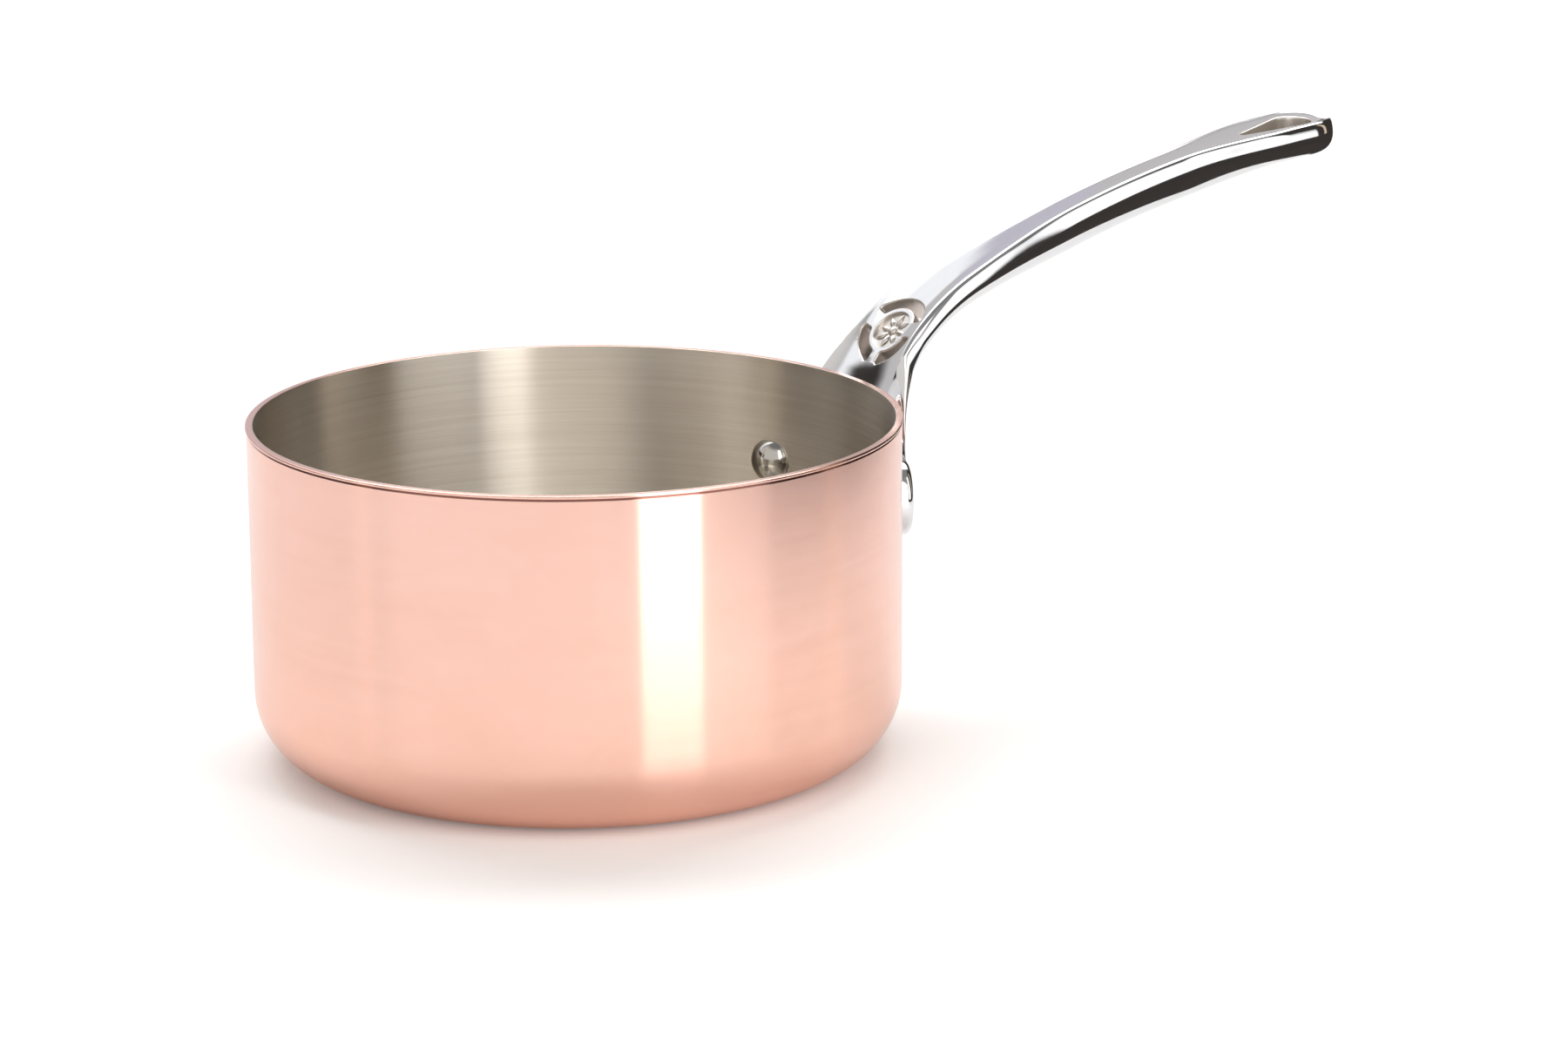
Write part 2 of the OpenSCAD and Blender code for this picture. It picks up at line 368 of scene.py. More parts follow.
def rivet_group(lathe):
    """Lathes a rivet's profile, bends it to the wall's curve and stands it on its place."""
    tree, given = group_tree("Rivet", [
        ("Segments", "Int", 64), ("Wall Radius", "Float", BORE_R), ("Side Angle", "Float", 0.0),
        ("Height", "Float", RIVET_Z), ("Material", "Material", None)])
    turned = tree.out("GeometryNodeGroup", {"node_tree": lathe},
                      {"Geometry": given["Geometry"], "Segments": given["Segments"],
                       "Weld Distance": WELD, "Material": given["Material"]})
    place = tree.out("GeometryNodeInputPosition")
    parts = tree.add("ShaderNodeSeparateXYZ", None, {"Vector": place})
    up, across, out = (Socket(tree, parts.outputs[axis]) for axis in "XYZ")
    wall = given["Wall Radius"]
    sag = wall - (wall * wall - across * across).math("SQRT")
    laid = tree.out("ShaderNodeCombineXYZ", None, {"X": out - sag, "Y": across, "Z": up * -1})
    swung = tree.out("ShaderNodeVectorRotate", {"rotation_type": "Z_AXIS"},
                     {"Vector": laid, "Angle": given["Side Angle"]})
    lift = tree.out("ShaderNodeCombineXYZ", None, {"Z": given["Height"]})
    there = tree.out("ShaderNodeVectorMath", {"operation": "ADD"}, {0: swung, 1: lift})
    moved = tree.out("GeometryNodeSetPosition", None,
                     {"Geometry": turned, "Position": there})
    return finished(tree, moved, given["Material"])


def lathed(name, profile, lathe, material):
    piece = new_object(name, [(r, 0, z) for r, z in profile])
    return made_by(piece, lathe, {"Segments": PAN_SEGMENTS, "Weld Distance": WELD,
                                  "Material": material})


def pan_profile():
    """The copper's section: underside, corner, wall, groove, lip, rim and the inside face."""
    inner = BORE_R + LINING_T
    under_lip = PAN_H - LIP_H
    groove = [(WALL_R, under_lip - GROOVE_H, 0.3 * MM),
              (WALL_R - GROOVE_DEPTH, under_lip - GROOVE_H / 3, 0.2 * MM),
              (WALL_R - GROOVE_DEPTH, under_lip, 0.08 * MM)]
    outline = rounded([(0, 0, 0), (WALL_R, 0, CORNER_R)] + groove + [
        (LIP_R, under_lip, 0.4 * MM), (LIP_R, PAN_H, LIP_EDGE_R), (inner, PAN_H, 0.15 * MM),
        (inner, COPPER_T, CORNER_R - COPPER_T), (0, COPPER_T, 0)], PROFILE_ARC)
    return stepped(outline, PROFILE_STEP)


def lining_profile():
    outer = BORE_R + LINING_T
    outer_r, inner_r = CORNER_R - COPPER_T, CORNER_R - COPPER_T - LINING_T
    return stepped(rounded([
        (0, COPPER_T, 0), (outer, COPPER_T, outer_r), (outer, PAN_H, 0.05 * MM),
        (BORE_R, PAN_H, 0.08 * MM), (BORE_R, COPPER_T + LINING_T, inner_r),
        (0, COPPER_T + LINING_T, 0)], PROFILE_ARC), PROFILE_STEP)


def dome_points(d, h, brim, steps=14):
    """Half a dome's section, from its edge to its pole, as (radius, height)."""
    ball = (d * d / 4 + (h - brim) ** 2) / (2 * (h - brim))
    sweep = math.asin(d / 2 / ball)
    angles = [sweep * (1 - k / steps) for k in range(steps + 1)]
    arc = [(ball * math.sin(a), h - ball * (1 - math.cos(a))) for a in angles]
    return [(d / 2 - 0.3 * MM, 0.0), (d / 2 - 0.08 * MM, 0.1 * MM)] + arc


def rivet_profile():
    """From the head's pole inside the pan, along the shank, to the pole of the formed tail."""
    outside = WALL_R + FLANGE_T
    head = [(r, BORE_R - h) for r, h in dome_points(HEAD_D, HEAD_H, 0.5 * MM)][::-1]
    tail = [(r, outside + h) for r, h in dome_points(TAIL_D, TAIL_H, 0.25 * MM)]
    shank = [(SHANK_D / 2, BORE_R), (SHANK_D / 2, outside)]
    return head + shank + tail


# ---------------------------------------------------------------- cast handle

BEND_LEN = NECK_BEND_R * (NECK_RISE - ARM_RISE)
BEND_END = NECK_STRAIGHT + BEND_LEN


def slope(s):
    """Slope of the top face's centre line at a distance from the wall."""
    s = np.asarray(s, float)
    bend = NECK_RISE - (s - NECK_STRAIGHT) / NECK_BEND_R
    arm = ARM_RISE - (s - BEND_END) / ARM_BEND_R
    return np.where(s < NECK_STRAIGHT, NECK_RISE, np.where(s < BEND_END, bend, arm))


def centre(s):
    """The centre line itself, as (x, z): a straight slope, a bend and a long curve."""
    s = np.asarray(s, float)

    def arc(r, start, end):
        return np.stack([r * (np.sin(start) - np.sin(end)), r * (np.cos(end) - np.cos(start))], -1)

    rise = np.array([math.cos(NECK_RISE), math.sin(NECK_RISE)])
    bend_start = np.array([WALL_R, PAN_H - ROOT_DROP]) + NECK_STRAIGHT * rise
    bend_end = bend_start + arc(NECK_BEND_R, NECK_RISE, ARM_RISE)
    straight = bend_start + (s[..., None] - NECK_STRAIGHT) * rise
    bent = bend_start + arc(NECK_BEND_R, NECK_RISE, slope(s))
    arm = bend_end + arc(ARM_BEND_R, ARM_RISE, slope(s))
    return np.where((s < NECK_STRAIGHT)[..., None], straight,
                    np.where((s < BEND_END)[..., None], bent, arm))


def between(s, column):
    """A smooth curve through one column of the sections, which never overshoots them."""
    x, y = SECTIONS[:, 0], SECTIONS[:, column]
    h = np.diff(x)
    rise = np.diff(y) / h
    same = rise[:-1] * rise[1:] > 0
    tangent = np.zeros(len(x))
    harmonic = 2 * rise[:-1] * rise[1:] / np.where(same, rise[:-1] + rise[1:], 1)
    tangent[1:-1][same] = harmonic[same]
    s = np.clip(s, 0, x[-1])
    i = np.clip(np.searchsorted(x, s, "right") - 1, 0, len(x) - 2)
    t = (s - x[i]) / h[i]
    return ((2 * t ** 3 - 3 * t ** 2 + 1) * y[i] + (t ** 3 - 2 * t ** 2 + t) * h[i] * tangent[i]
            + (3 * t ** 2 - 2 * t ** 3) * y[i + 1] + (t ** 3 - t ** 2) * h[i] * tangent[i + 1])


def hollow(w, v):
    """How far the dished top face lies below its edges, at v from -1 to 1 across it."""
    return NECK_DISH * w / NECK_W * (1 - np.abs(v) ** 3)


def swell_at(s):
    """How far the flanks stand out beyond the top face: less at the root, where they fade."""
    t = np.clip(s / SWELL_FADE, 0, 1)
    return SIDE_SWELL * (ROOT_SWELL + (1 - ROOT_SWELL) * eased(t))


def half_section(w, d, swell):
    """The left half of a section, from the rounded top edge to the flank's widest point."""
    flank = d * FLANK_SHARE
    a = np.linspace(0, math.pi / 2, FLANK_STEPS + 1)
    y, n = w / 2 + swell * np.sin(a), flank * (np.cos(a) - 1)
    cut = 0.25
    y[0], n[0] = y[0] + (y[1] - y[0]) * cut, n[0] + (n[1] - n[0]) * cut
    inside = np.array([w / 2 - EDGE_ROUND, -hollow(w, 1 - 2 * EDGE_ROUND / w)])
    corner = np.array([w / 2, 0.0])
    t = np.linspace(0, 1, EDGE_STEPS + 1)[:-1, None]
    edge = (1 - t) ** 2 * inside + 2 * t * (1 - t) * corner + t ** 2 * np.array([y[0], n[0]])
    return np.concatenate([edge, np.stack([y, n], 1)])


def section(w, d, swell):
    """A closed section of the body as (across, above the top face), from the left edge round."""
    left = half_section(w, d, swell)
    flank = d * FLANK_SHARE
    a = np.linspace(0, math.pi, BELLY_STEPS + 1)[1:-1]
    belly = np.stack([(w / 2 + swell) * np.cos(a), -flank - (d - flank) * np.sin(a)], 1)
    right = left[::-1] * [-1, 1]
    v = -np.cos(np.linspace(0, math.pi, TOP_STEPS + 1))[1:-1]
    reach = left[0, 0]
    top = np.stack([v * reach, -hollow(w, v * reach / (w / 2))], 1)
    return np.concatenate([left, belly, right, top])


# Places in a section's list of points
LEFT_FLANK = EDGE_STEPS
RIGHT_FLANK = EDGE_STEPS + 2 * FLANK_STEPS + BELLY_STEPS
COLUMNS = len(section(NECK_W, 10 * MM, SIDE_SWELL))


def on_arm(s, y, n):
    """A point in space from the distance along the arm, across it and above its top face."""
    a, c = slope(s), centre(s)
    return np.stack([c[..., 0] - n * np.sin(a), y + 0 * a, c[..., 1] + n * np.cos(a)], -1)


def ring(s):
    """The section at a distance from the wall, placed in space and drawn in near the tip."""
    w, d = float(between(s, 1)), float(between(s, 2))
    u = min(1.0, max(0.0, (s - ARM_LEN + TIP_R) / TIP_R))
    plan, depth = math.sqrt(1 - u * u), (1 - u ** 4) ** 0.25
    shape = section(w, d, float(swell_at(s)))
    sink = (1 - depth) * d * TIP_DROP_SHARE
    return on_arm(np.full(COLUMNS, s), shape[:, 0] * plan, shape[:, 1] * depth - sink)


def to_wall(points):
    """Space to wall coordinates: round the wall, up it, and out from the flange's face."""
    r = np.hypot(points[..., 0], points[..., 1])
    face = WALL_R + FLANGE_T
    return np.stack([np.arctan2(points[..., 1], points[..., 0]) * face, points[..., 2],
                     r - face], -1)


def from_wall(points):
    face = WALL_R + FLANGE_T
    a, r = points[..., 0] / face, face + points[..., 2]
    return np.stack([r * np.cos(a), r * np.sin(a), points[..., 1]], -1)


def flange_outline(start):
    """The flange's left half on the wall, from the neck's edge over the shoulder and the lobe
    to the middle of the bottom edge, as closely spaced points."""
    face = WALL_R + FLANGE_T
    lobe = np.array([math.asin(WALL_R * math.sin(RIVET_ANGLE) / face) * face,
                     RIVET_Z + LOBE_RISE])
    arc = np.linspace(math.pi / 2 - SHOULDER_FALL, -math.pi / 2, 90)
    round_lobe = lobe + LOBE_R * np.stack([np.cos(arc), np.sin(arc)], 1)
    touch = round_lobe[0]
    bend = np.array([start[0] + SHOULDER_OUT, 0])
    bend[1] = touch[1] + (touch[0] - bend[0]) * math.tan(SHOULDER_FALL)
    t = np.linspace(0, 1, 40)[:-1, None]
    shoulder = (1 - t) ** 2 * start + 2 * t * (1 - t) * bend + t ** 2 * touch
    points = np.concatenate([shoulder, round_lobe, [[0.0, lobe[1] - LOBE_R]]])
    return stepped(points, OUTLINE_STEP)


def point_on(outline, length, at):
    """The point of an outline at a distance along it."""
    return np.array([np.interp(at, length, outline[:, c]) for c in (0, 1)])


def root_rows(first):
    """Rows that carry the section at ROOT_END down into the flange and round its rim.

    The top face and its rounded edges go straight on to the wall. Every other column leaves
    the neck along the arm and comes down flat on the flange, square to its outline.
    """
    step = 0.5 * MM
    behind_wall = -8 * MM
    run = (to_wall(first) - to_wall(ring(ROOT_END - step))) / step
    here = to_wall(first)
    t = np.linspace(0, 1, ROOT_ROWS + 1)[1:]
    out = np.zeros((ROOT_ROWS, COLUMNS, 3))

    # Straight on to the wall
    for j in list(range(LEFT_FLANK + 1)) + list(range(RIGHT_FLANK, COLUMNS)):
        low, high = behind_wall, ROOT_END
        for _ in range(40):
            s = (low + high) / 2
            point = ring_point(s, j)
            if math.hypot(point[0], point[1]) > WALL_R:
                high = s
            else:
                low = s
        distances = ROOT_END + (high - ROOT_END) * t
        out[:, j] = to_wall(np.array([ring_point(s, j) for s in distances]))

    # Down on to the flange: the left half, and its mirror image
    feel = 1.5 * MM
    start = out[-1, LEFT_FLANK, :2]
    outline = flange_outline(start)
    length = np.concatenate([[0], np.cumsum(np.linalg.norm(np.diff(outline, axis=0), axis=1))])
    middle = LEFT_FLANK + FLANK_STEPS + BELLY_STEPS // 2
    count = middle - LEFT_FLANK
    for k in range(1, count + 1):
        j = LEFT_FLANK + k
        share = k / count
        along = length[-1] * share
        rim = point_on(outline, length, along)
        ahead, behind = (point_on(outline, length, along + e) for e in (feel, -feel))
        tangent = (ahead - behind) / np.linalg.norm(ahead - behind)
        inward = np.array([tangent[1], -tangent[0]])
        if inward @ (FLANGE_HUB - rim) < 0:
            inward = -inward
        if k == count:
            inward = np.array([0.0, 1.0])
        out[:, j] = flange_column(here[j], run[j], rim, inward, share, t)
        if k < count:
            mirror = RIGHT_FLANK - k
            out[:, mirror] = out[:, j] * [-1, 1, 1]

    # Eased, so that the neck runs into the lobes without a crease
    passes, pull = 40, 0.6
    curve = ROOT_ROWS - RIM_ROWS - 1
    free = slice(LEFT_FLANK + 2, RIGHT_FLANK - 1)
    for _ in range(passes):
        near = (out[:curve - 1, free] + out[2:curve + 1, free]
                + out[1:curve, LEFT_FLANK + 1:RIGHT_FLANK - 2]
                + out[1:curve, LEFT_FLANK + 3:RIGHT_FLANK]) / 4
        out[1:curve, free] += pull * (near - out[1:curve, free])
    for j in range(LEFT_FLANK + 1, RIGHT_FLANK):
        out[:, j] = flattened(out[:, j])
    return from_wall(out)


def ring_point(s, j):
    w, d = float(between(s, 1)), float(between(s, 2))
    y, n = section(w, d, float(swell_at(s)))[j]
    return on_arm(np.array(s), y, n)


def flange_column(here, run, rim, inward, share, t):
    """One column from the neck to the wall: a curve on to the flange, its round rim, its edge."""
    corner_share, leave, land, bunch = 0.10, 0.30, 0.42, 1.25
    clear = 0.3 * MM
    ease = eased(min(1.0, share / corner_share))
    pillow = PILLOW_R * ease
    landing = np.array([*(rim + inward * pillow), -FLANGE_T * (1 - ease)])
    far = np.linalg.norm(landing - here)
    p1 = here - run * far * leave
    p1[2] = max(p1[2], landing[2] + clear)
    p2 = landing + np.array([*(inward * far * land), 0.0])
    u = np.linspace(0, 1, len(t) - RIM_ROWS + 1)[1:, None]
    u = 1 - (1 - u) ** bunch
    curve = ((1 - u) ** 3 * here + 3 * (1 - u) ** 2 * u * p1 + 3 * (1 - u) * u ** 2 * p2
             + u ** 3 * landing)
    a = np.linspace(0, math.pi / 2, RIM_ROWS)[1:, None]
    bend_xy = rim + inward * pillow * (1 - np.sin(a))
    bend_h = landing[2] - pillow * (1 - np.cos(a))
    bend = np.concatenate([bend_xy, bend_h], 1)
    wall = np.array([[*rim, -FLANGE_T]])
    return flattened(np.concatenate([curve, bend, wall]))


def flattened(column):
    """The flange is flat where a rivet's tail sits on it."""
    face = WALL_R + FLANGE_T
    seat = np.array([RIVET_ANGLE * face, RIVET_Z])
    away = np.linalg.norm(column[:, :2] - seat, axis=1)
    keep = eased(np.clip((away - SEAT_R) / SEAT_R, 0, 1))
    column[:, 2] = np.where(column[:, 2] > 0, column[:, 2] * keep, column[:, 2])
    return column


def cast_handle():
    """The handle as one closed skin: wall patch, flange, neck, arm and tip."""
    tip_start = ARM_LEN - TIP_R
    body = np.arange(ROOT_END, tip_start, ARM_STEP)
    tip = tip_start + TIP_R * np.sin(np.linspace(0, math.radians(88.5), TIP_RINGS))
    rings = [ring(s) for s in np.concatenate([body, tip])]
    root = root_rows(rings[0])
    wall = to_wall(root[-1])
    patch = []
    for k in range(1, PATCH_RINGS):
        inset = wall.copy()
        inset[:, :2] = FLANGE_HUB + (inset[:, :2] - FLANGE_HUB) * (1 - k / PATCH_RINGS)
        patch.append(from_wall(inset))
    rows = patch[::-1] + list(root[::-1]) + rings
    points = np.concatenate(rows)
    start_pole = from_wall(np.array([*FLANGE_HUB, -FLANGE_T]))
    end_pole = on_arm(np.array(ARM_LEN), 0.0, -SECTIONS[-1, 2] * TIP_DROP_SHARE)
    n, last = COLUMNS, len(rows) - 1
    faces = tube_faces(len(rows), n)
    pole_a, pole_b = len(points), len(points) + 1
    faces += [(pole_a, (j + 1) % n, j) for j in range(n)]
    faces += [(pole_b, last * n + j, last * n + (j + 1) % n) for j in range(n)]
    points = np.concatenate([points, [start_pole], [end_pole]])
    return new_object("cast_handle", points, faces)


# ---------------------------------------------------------------- openings in the handle

def top_level(s, y):
    """Level of the dished top face at a place on it."""
    w = between(s, 1)
    return -hollow(w, np.clip(y / (w / 2), -1, 1))


def belly_level(s, y):
    """Level of the rounded underside below a place on the top face."""
    w, d = between(s, 1), between(s, 2)
    flank = d * FLANK_SHARE
    v = np.clip(y / (w / 2 + swell_at(s)), -1, 1)
    return -flank - (d - flank) * np.sqrt(1 - v * v)


def grown(outline, by):
    """A closed outline moved outwards by a small distance."""
    ahead, behind = np.roll(outline, -1, 0), np.roll(outline, 1, 0)
    t = (ahead - behind) / np.linalg.norm(ahead - behind, axis=1)[:, None]
    area = np.sum(outline[:, 0] * ahead[:, 1] - ahead[:, 0] * outline[:, 1])
    return outline + by * math.copysign(1, area) * np.stack([t[:, 1], -t[:, 0]], 1)


def cutter(name, outline, lip, floor=None):
    """A body that cuts an outline (along the arm, across it) with a rounded lip.

    It goes right through, or down to a flat floor at the given level.
    """
    rows = []
    overrun = 4 * MM

    def row(grow, level, height):
        edge = grown(outline, grow)
        rows.append((edge, level(edge[:, 0], edge[:, 1]) + height))

    a = np.linspace(0, math.pi / 2, LIP_STEPS)
    if floor is None:
        row(lip, belly_level, -overrun)
        for k in a[::-1]:
            row(lip * (1 - math.cos(k)), belly_level, lip * (1 - math.sin(k)))
    else:
        row(0, lambda s, y: np.full(len(s), floor), 0)
    for k in a:
        row(lip * (1 - math.cos(k)), top_level, -lip * (1 - math.sin(k)))
    row(lip, top_level, overrun)
    n = len(outline)
    points = [on_arm(edge[:, 0], edge[:, 1], level) for edge, level in rows]
    faces = tube_faces(len(rows), n)
    faces += [tuple(range(n))[::-1], tuple(range((len(rows) - 1) * n, len(rows) * n))]
    return new_object(name, np.concatenate(points), faces)


def cut_from(piece, tools, finish):
    """Cuts the tools from a piece. The faces that a cut leaves get the tools' own finish."""
    for tool in tools:
        tool.data.materials.append(finish)
        cut = piece.modifiers.new("cut", "BOOLEAN")
        cut.material_mode = "TRANSFER"
        cut.operation, cut.solver, cut.object = "DIFFERENCE", "MANIFOLD", tool
    applied(piece)
    for tool in tools:
        mesh = tool.data
        bpy.data.objects.remove(tool)
        bpy.data.meshes.remove(mesh)
    return piece


def eye_outline():
    """The hanging eye: a teardrop whose point looks towards the pan."""
    r, middle = EYE_D / 2, ARM_LEN - EYE_RIM - EYE_D / 2
    reach = EYE_TAPER + EYE_POINT_LOSS
    touch = math.acos(r / reach)
    a = np.linspace(math.pi - touch, touch - math.pi, 90)
    round_end = np.stack([middle + r * np.cos(a), r * np.sin(a)], 1)
    tip = rounded([(*round_end[-1], 0), (middle - reach, 0, EYE_POINT_R), (*round_end[0], 0)], 8)
    side = stepped(tip, 1 * MM)
    return np.concatenate([round_end, side[1:-1]])


def opening_outline(start, end, start_web, end_web):
    """One opening beside the medallion, between two straight webs, with round corners."""
    inner = MEDAL_D / 2 + OPENING_GAP
    outer = inner + OPENING_W
    point = math.acos(1 / OPENING_REACH)

    def reach(a):
        over = abs(math.remainder(a, math.tau)) - (math.pi - point)
        return outer / math.cos(over) if over > 0 else outer

    def corner(r_of, web_angle, web, side):
        a = web_angle
        for _ in range(20):
            a = web_angle + side * math.asin(web / 2 / r_of(a))
        return a

    def place(r, a):
        return MEDAL_POS + r * math.cos(a), r * math.sin(a)

    inner_a = corner(lambda a: inner, start, start_web, 1)
    inner_b = corner(lambda a: inner, end, end_web, -1)
    outer_a = corner(reach, start, start_web, 1)
    outer_b = corner(reach, end, end_web, -1)
    middle = (start + end) / 2
    outer_run, inner_run = OPENING_CORNER_RUN / outer, OPENING_CORNER_RUN / inner
    out = [(*place(reach(a), a), 0) for a in np.linspace(middle, outer_b - outer_run, 30)]
    out.append((*place(reach(outer_b), outer_b), OPENING_CORNER_R))
    out.append((*place(inner, inner_b), OPENING_CORNER_R))
    out += [(*place(inner, a), 0)
            for a in np.linspace(inner_b - inner_run, inner_a + inner_run, 40)]
    out.append((*place(inner, inner_a), OPENING_CORNER_R))
    out.append((*place(reach(outer_a), outer_a), OPENING_CORNER_R))
    out += [(*place(reach(a), a), 0) for a in np.linspace(outer_a + outer_run, middle, 30)]
    return rounded(out, 7)[:-1]


def handle_cutters():
    """The eye, the three openings round the medallion and its sunk field."""
    field = MEDAL_D / 2 - MEDAL_RING_W
    a = np.linspace(0, math.tau, 97)[:-1]
    disc = np.stack([MEDAL_POS + field * np.cos(a), field * np.sin(a)], 1)
    side, foot, turn = SIDE_WEB_W, FOOT_WEB_W, SIDE_WEB_ANGLE
    return [
        cutter("eye", eye_outline(), EYE_LIP),
        cutter("far_opening", opening_outline(-turn, turn, side, side), OPENING_LIP),
        cutter("left_opening", opening_outline(turn, math.pi, side, foot), OPENING_LIP),
        cutter("right_opening", opening_outline(-math.pi, -turn, foot, side), OPENING_LIP),
        cutter("medallion_field", disc, FIELD_LIP, MEDAL_FLOOR)]


# ---------------------------------------------------------------- rosette

def petal():
    """A pointed, domed petal that lies along X."""
    rows, turns = 6, 28
    points = []
    for i in range(rows):
        share = 1 - i / rows
        for k in range(turns):
            a = k / turns * math.tau
            x = PETAL_HALF_LEN * math.cos(a)
            leaf = (1 - 0.35 * math.cos(a) ** 2) * (1 - 0.3 * math.cos(a))
            y = PETAL_HALF_W * math.sin(a) * leaf
            points.append((x * share, y * share, PETAL_H * (1 - share ** 2.4)))
    faces = tube_faces(rows, turns)
    top = len(points)
    points.append((0, 0, PETAL_H))
    faces += [((rows - 1) * turns + k, (rows - 1) * turns + (k + 1) % turns, top)
              for k in range(turns)]
    foot = len(points)
    points.append((0, 0, -PETAL_FOOT))
    faces += [((k + 1) % turns, k, foot) for k in range(turns)]
    return new_object("rosette", points, faces)


def rosette_group():
    """Petals in a ring round a boss, laid on a tilted face."""
    tree, given = group_tree("Rosette", [
        ("Petals", "Int", PETALS), ("Ring Radius", "Float", PETAL_RING_R),
        ("Boss Radius", "Float", BOSS_R), ("Boss Height", "Float", BOSS_H),
        ("Tilt", "Float", 0.0), ("Centre", "Vector", None),
        ("Material", "Material", None)])
    ring_points = tree.out("GeometryNodeMeshCircle", None,
                           {"Vertices": given["Petals"], "Radius": given["Ring Radius"]})
    turn = tree.out("GeometryNodeInputIndex") / given["Petals"] * math.tau
    turned = tree.out("ShaderNodeCombineXYZ", None, {"Z": turn})
    petals = tree.out("GeometryNodeInstanceOnPoints", None,
                      {"Points": ring_points, "Instance": given["Geometry"], "Rotation": turned})
    ball = tree.out("GeometryNodeMeshUVSphere", None,
                    {"Segments": 48, "Rings": 24, "Radius": given["Boss Radius"]})
    flat = tree.out("ShaderNodeCombineXYZ", None,
                    {"X": 1.0, "Y": 1.0, "Z": given["Boss Height"] / given["Boss Radius"]})
    boss = tree.out("GeometryNodeTransform", None, {"Geometry": ball, "Scale": flat})
    both = tree.add("GeometryNodeJoinGeometry")
    for part in (petals, boss):
        tree.tree.links.new(part.socket, both.inputs[0])
    tilt = tree.out("ShaderNodeCombineXYZ", None, {"Y": given["Tilt"]})
    laid = tree.out("GeometryNodeTransform", None,
                    {"Geometry": Socket(tree, both.outputs[0]), "Rotation": tilt,
                     "Translation": given["Centre"]})
    return finished(tree, laid, given["Material"])


# ---------------------------------------------------------------- materials

def shading(name):
    """A new material, its empty tree and the place on the object."""
    material = bpy.data.materials.new(name)
    material.use_nodes = True
    material.node_tree.nodes.clear()
    tree = Tree(material.node_tree)
    place = tree.add("ShaderNodeTexCoord").outputs["Object"]
    return material, tree, Socket(tree, place)


def noise(tree, place, scale, detail=2.0, roughness=0.5, distortion=0.0, stretch=None):
    if stretch is not None:
        place = tree.out("ShaderNodeVectorMath", {"operation": "MULTIPLY"},
                         {0: place, 1: stretch})
    return tree.out("ShaderNodeTexNoise", None,
                    {"Vector": place, "Scale": scale, "Detail": detail, "Roughness": roughness,
                     "Distortion": distortion})


def mixed(tree, share, first, second):
    """Colour from first, at a share of 0, to second, at 1."""
    return tree.out("ShaderNodeMix", {"data_type": "RGBA"},
                    {"Factor": share, 6: first, 7: second}, 2)


def surface(tree, colour, roughness, height, depth, brushed=None):
    """The metal itself. A brushed one draws its highlights out across the lines."""
    raised = tree.out("ShaderNodeBump", None,
                      {"Strength": 1.0, "Distance": depth, "Height": height})
    metal = {"Base Color": colour, "Roughness": roughness, "Metallic": 1.0, "Normal": raised}
    if brushed is not None:
        metal.update(brushed)
    shader = tree.out("ShaderNodeBsdfPrincipled", None, metal)
    tree.add("ShaderNodeOutputMaterial", None, {"Surface": shader})


BRUSHED_ROUND = {"Anisotropic": 1.0, "Anisotropic Rotation": 0.25}


def lathe_lines(tree, place, slant, coarse, fine):
    """Height, radius and the fine lines that run round the pan: wide and thin noise, squeezed
    across the lines."""
    parts = tree.add("ShaderNodeSeparateXYZ", None, {"Vector": place})
    x, y, z = (Socket(tree, parts.outputs[axis]) for axis in "XYZ")
    r = (x * x + y * y).math("SQRT")
    across = z + r * slant
    round_pan = tree.out("ShaderNodeCombineXYZ", None, {"X": x * 7, "Y": y * 7, "Z": across})
    wide = noise(tree, round_pan, 1.0, 3.0, 0.6, stretch=(1, 1, coarse))
    thin = noise(tree, round_pan, 1.0, 2.0, 0.6, stretch=(4, 4, fine))
    return z, r, wide, thin


def polished_copper():
    """Mirror copper with haze, a few spots and painted shade: warmer and darker towards the
    bottom, and a dark line under the lip.
    """
    material, tree, place = shading("polished_copper")
    z, r, wide, thin = lathe_lines(tree, place, 0.4, 420, 1500)
    clouds = noise(tree, place, 14, 4.0, 0.55, 1.2, stretch=(1, 1, 1.6))
    wipes = noise(tree, place, 30, 3.0, 0.6, 2.5, stretch=(1, 1, 2.4))
    haze = (clouds - 0.5) * 0.6 + (wipes - 0.5) * 0.35
    bright = (0.965, 0.62, 0.535, 1)
    warm_haze_and_low_shade = (0.94, 0.55, 0.41, 1)
    # Random haze, and painted shade that turns the copper warmer and darker towards the bottom
    tone = mixed(tree, (haze * 1.2 + z.ramp(PAN_H, 0, 0.12, 0.6)).clamped(), bright, warm_haze_and_low_shade)
    # Painted shadow: a dark line in the groove under the lip, on the outside face only
    under_lip = PAN_H - LIP_H
    groove = z.ramp(under_lip - 0.8 * MM, under_lip - 0.45 * MM) * z.ramp(
        under_lip + 0.1 * MM, under_lip + 0.25 * MM, 1.0, 0.0)
    outside = r.ramp(BORE_R + 1 * MM, WALL_R - 0.4 * MM)
    groove_painted_shadow = mixed(tree, groove * outside * 0.85, tone, (0.16, 0.04, 0.03, 1))
    cells = tree.add("ShaderNodeTexVoronoi", None, {"Vector": place, "Scale": 34.0})
    spot = Socket(tree, cells.outputs["Distance"]).ramp(0.012, 0.02, 1.0, 0.0)
    pick = tree.out("ShaderNodeSeparateColor", None, {"Color": cells.outputs["Color"]})
    rare = pick.math("GREATER_THAN", 0.9)
    spotted = mixed(tree, spot * rare * 0.7, groove_painted_shadow, (0.35, 0.12, 0.05, 1))
    rough = (0.205 + haze * 0.08 + (wide - 0.5) * 0.05).clamped()
    surface(tree, spotted, rough, wide * 0.3 + thin * 0.7, 0.002 * MM, BRUSHED_ROUND)
    return material


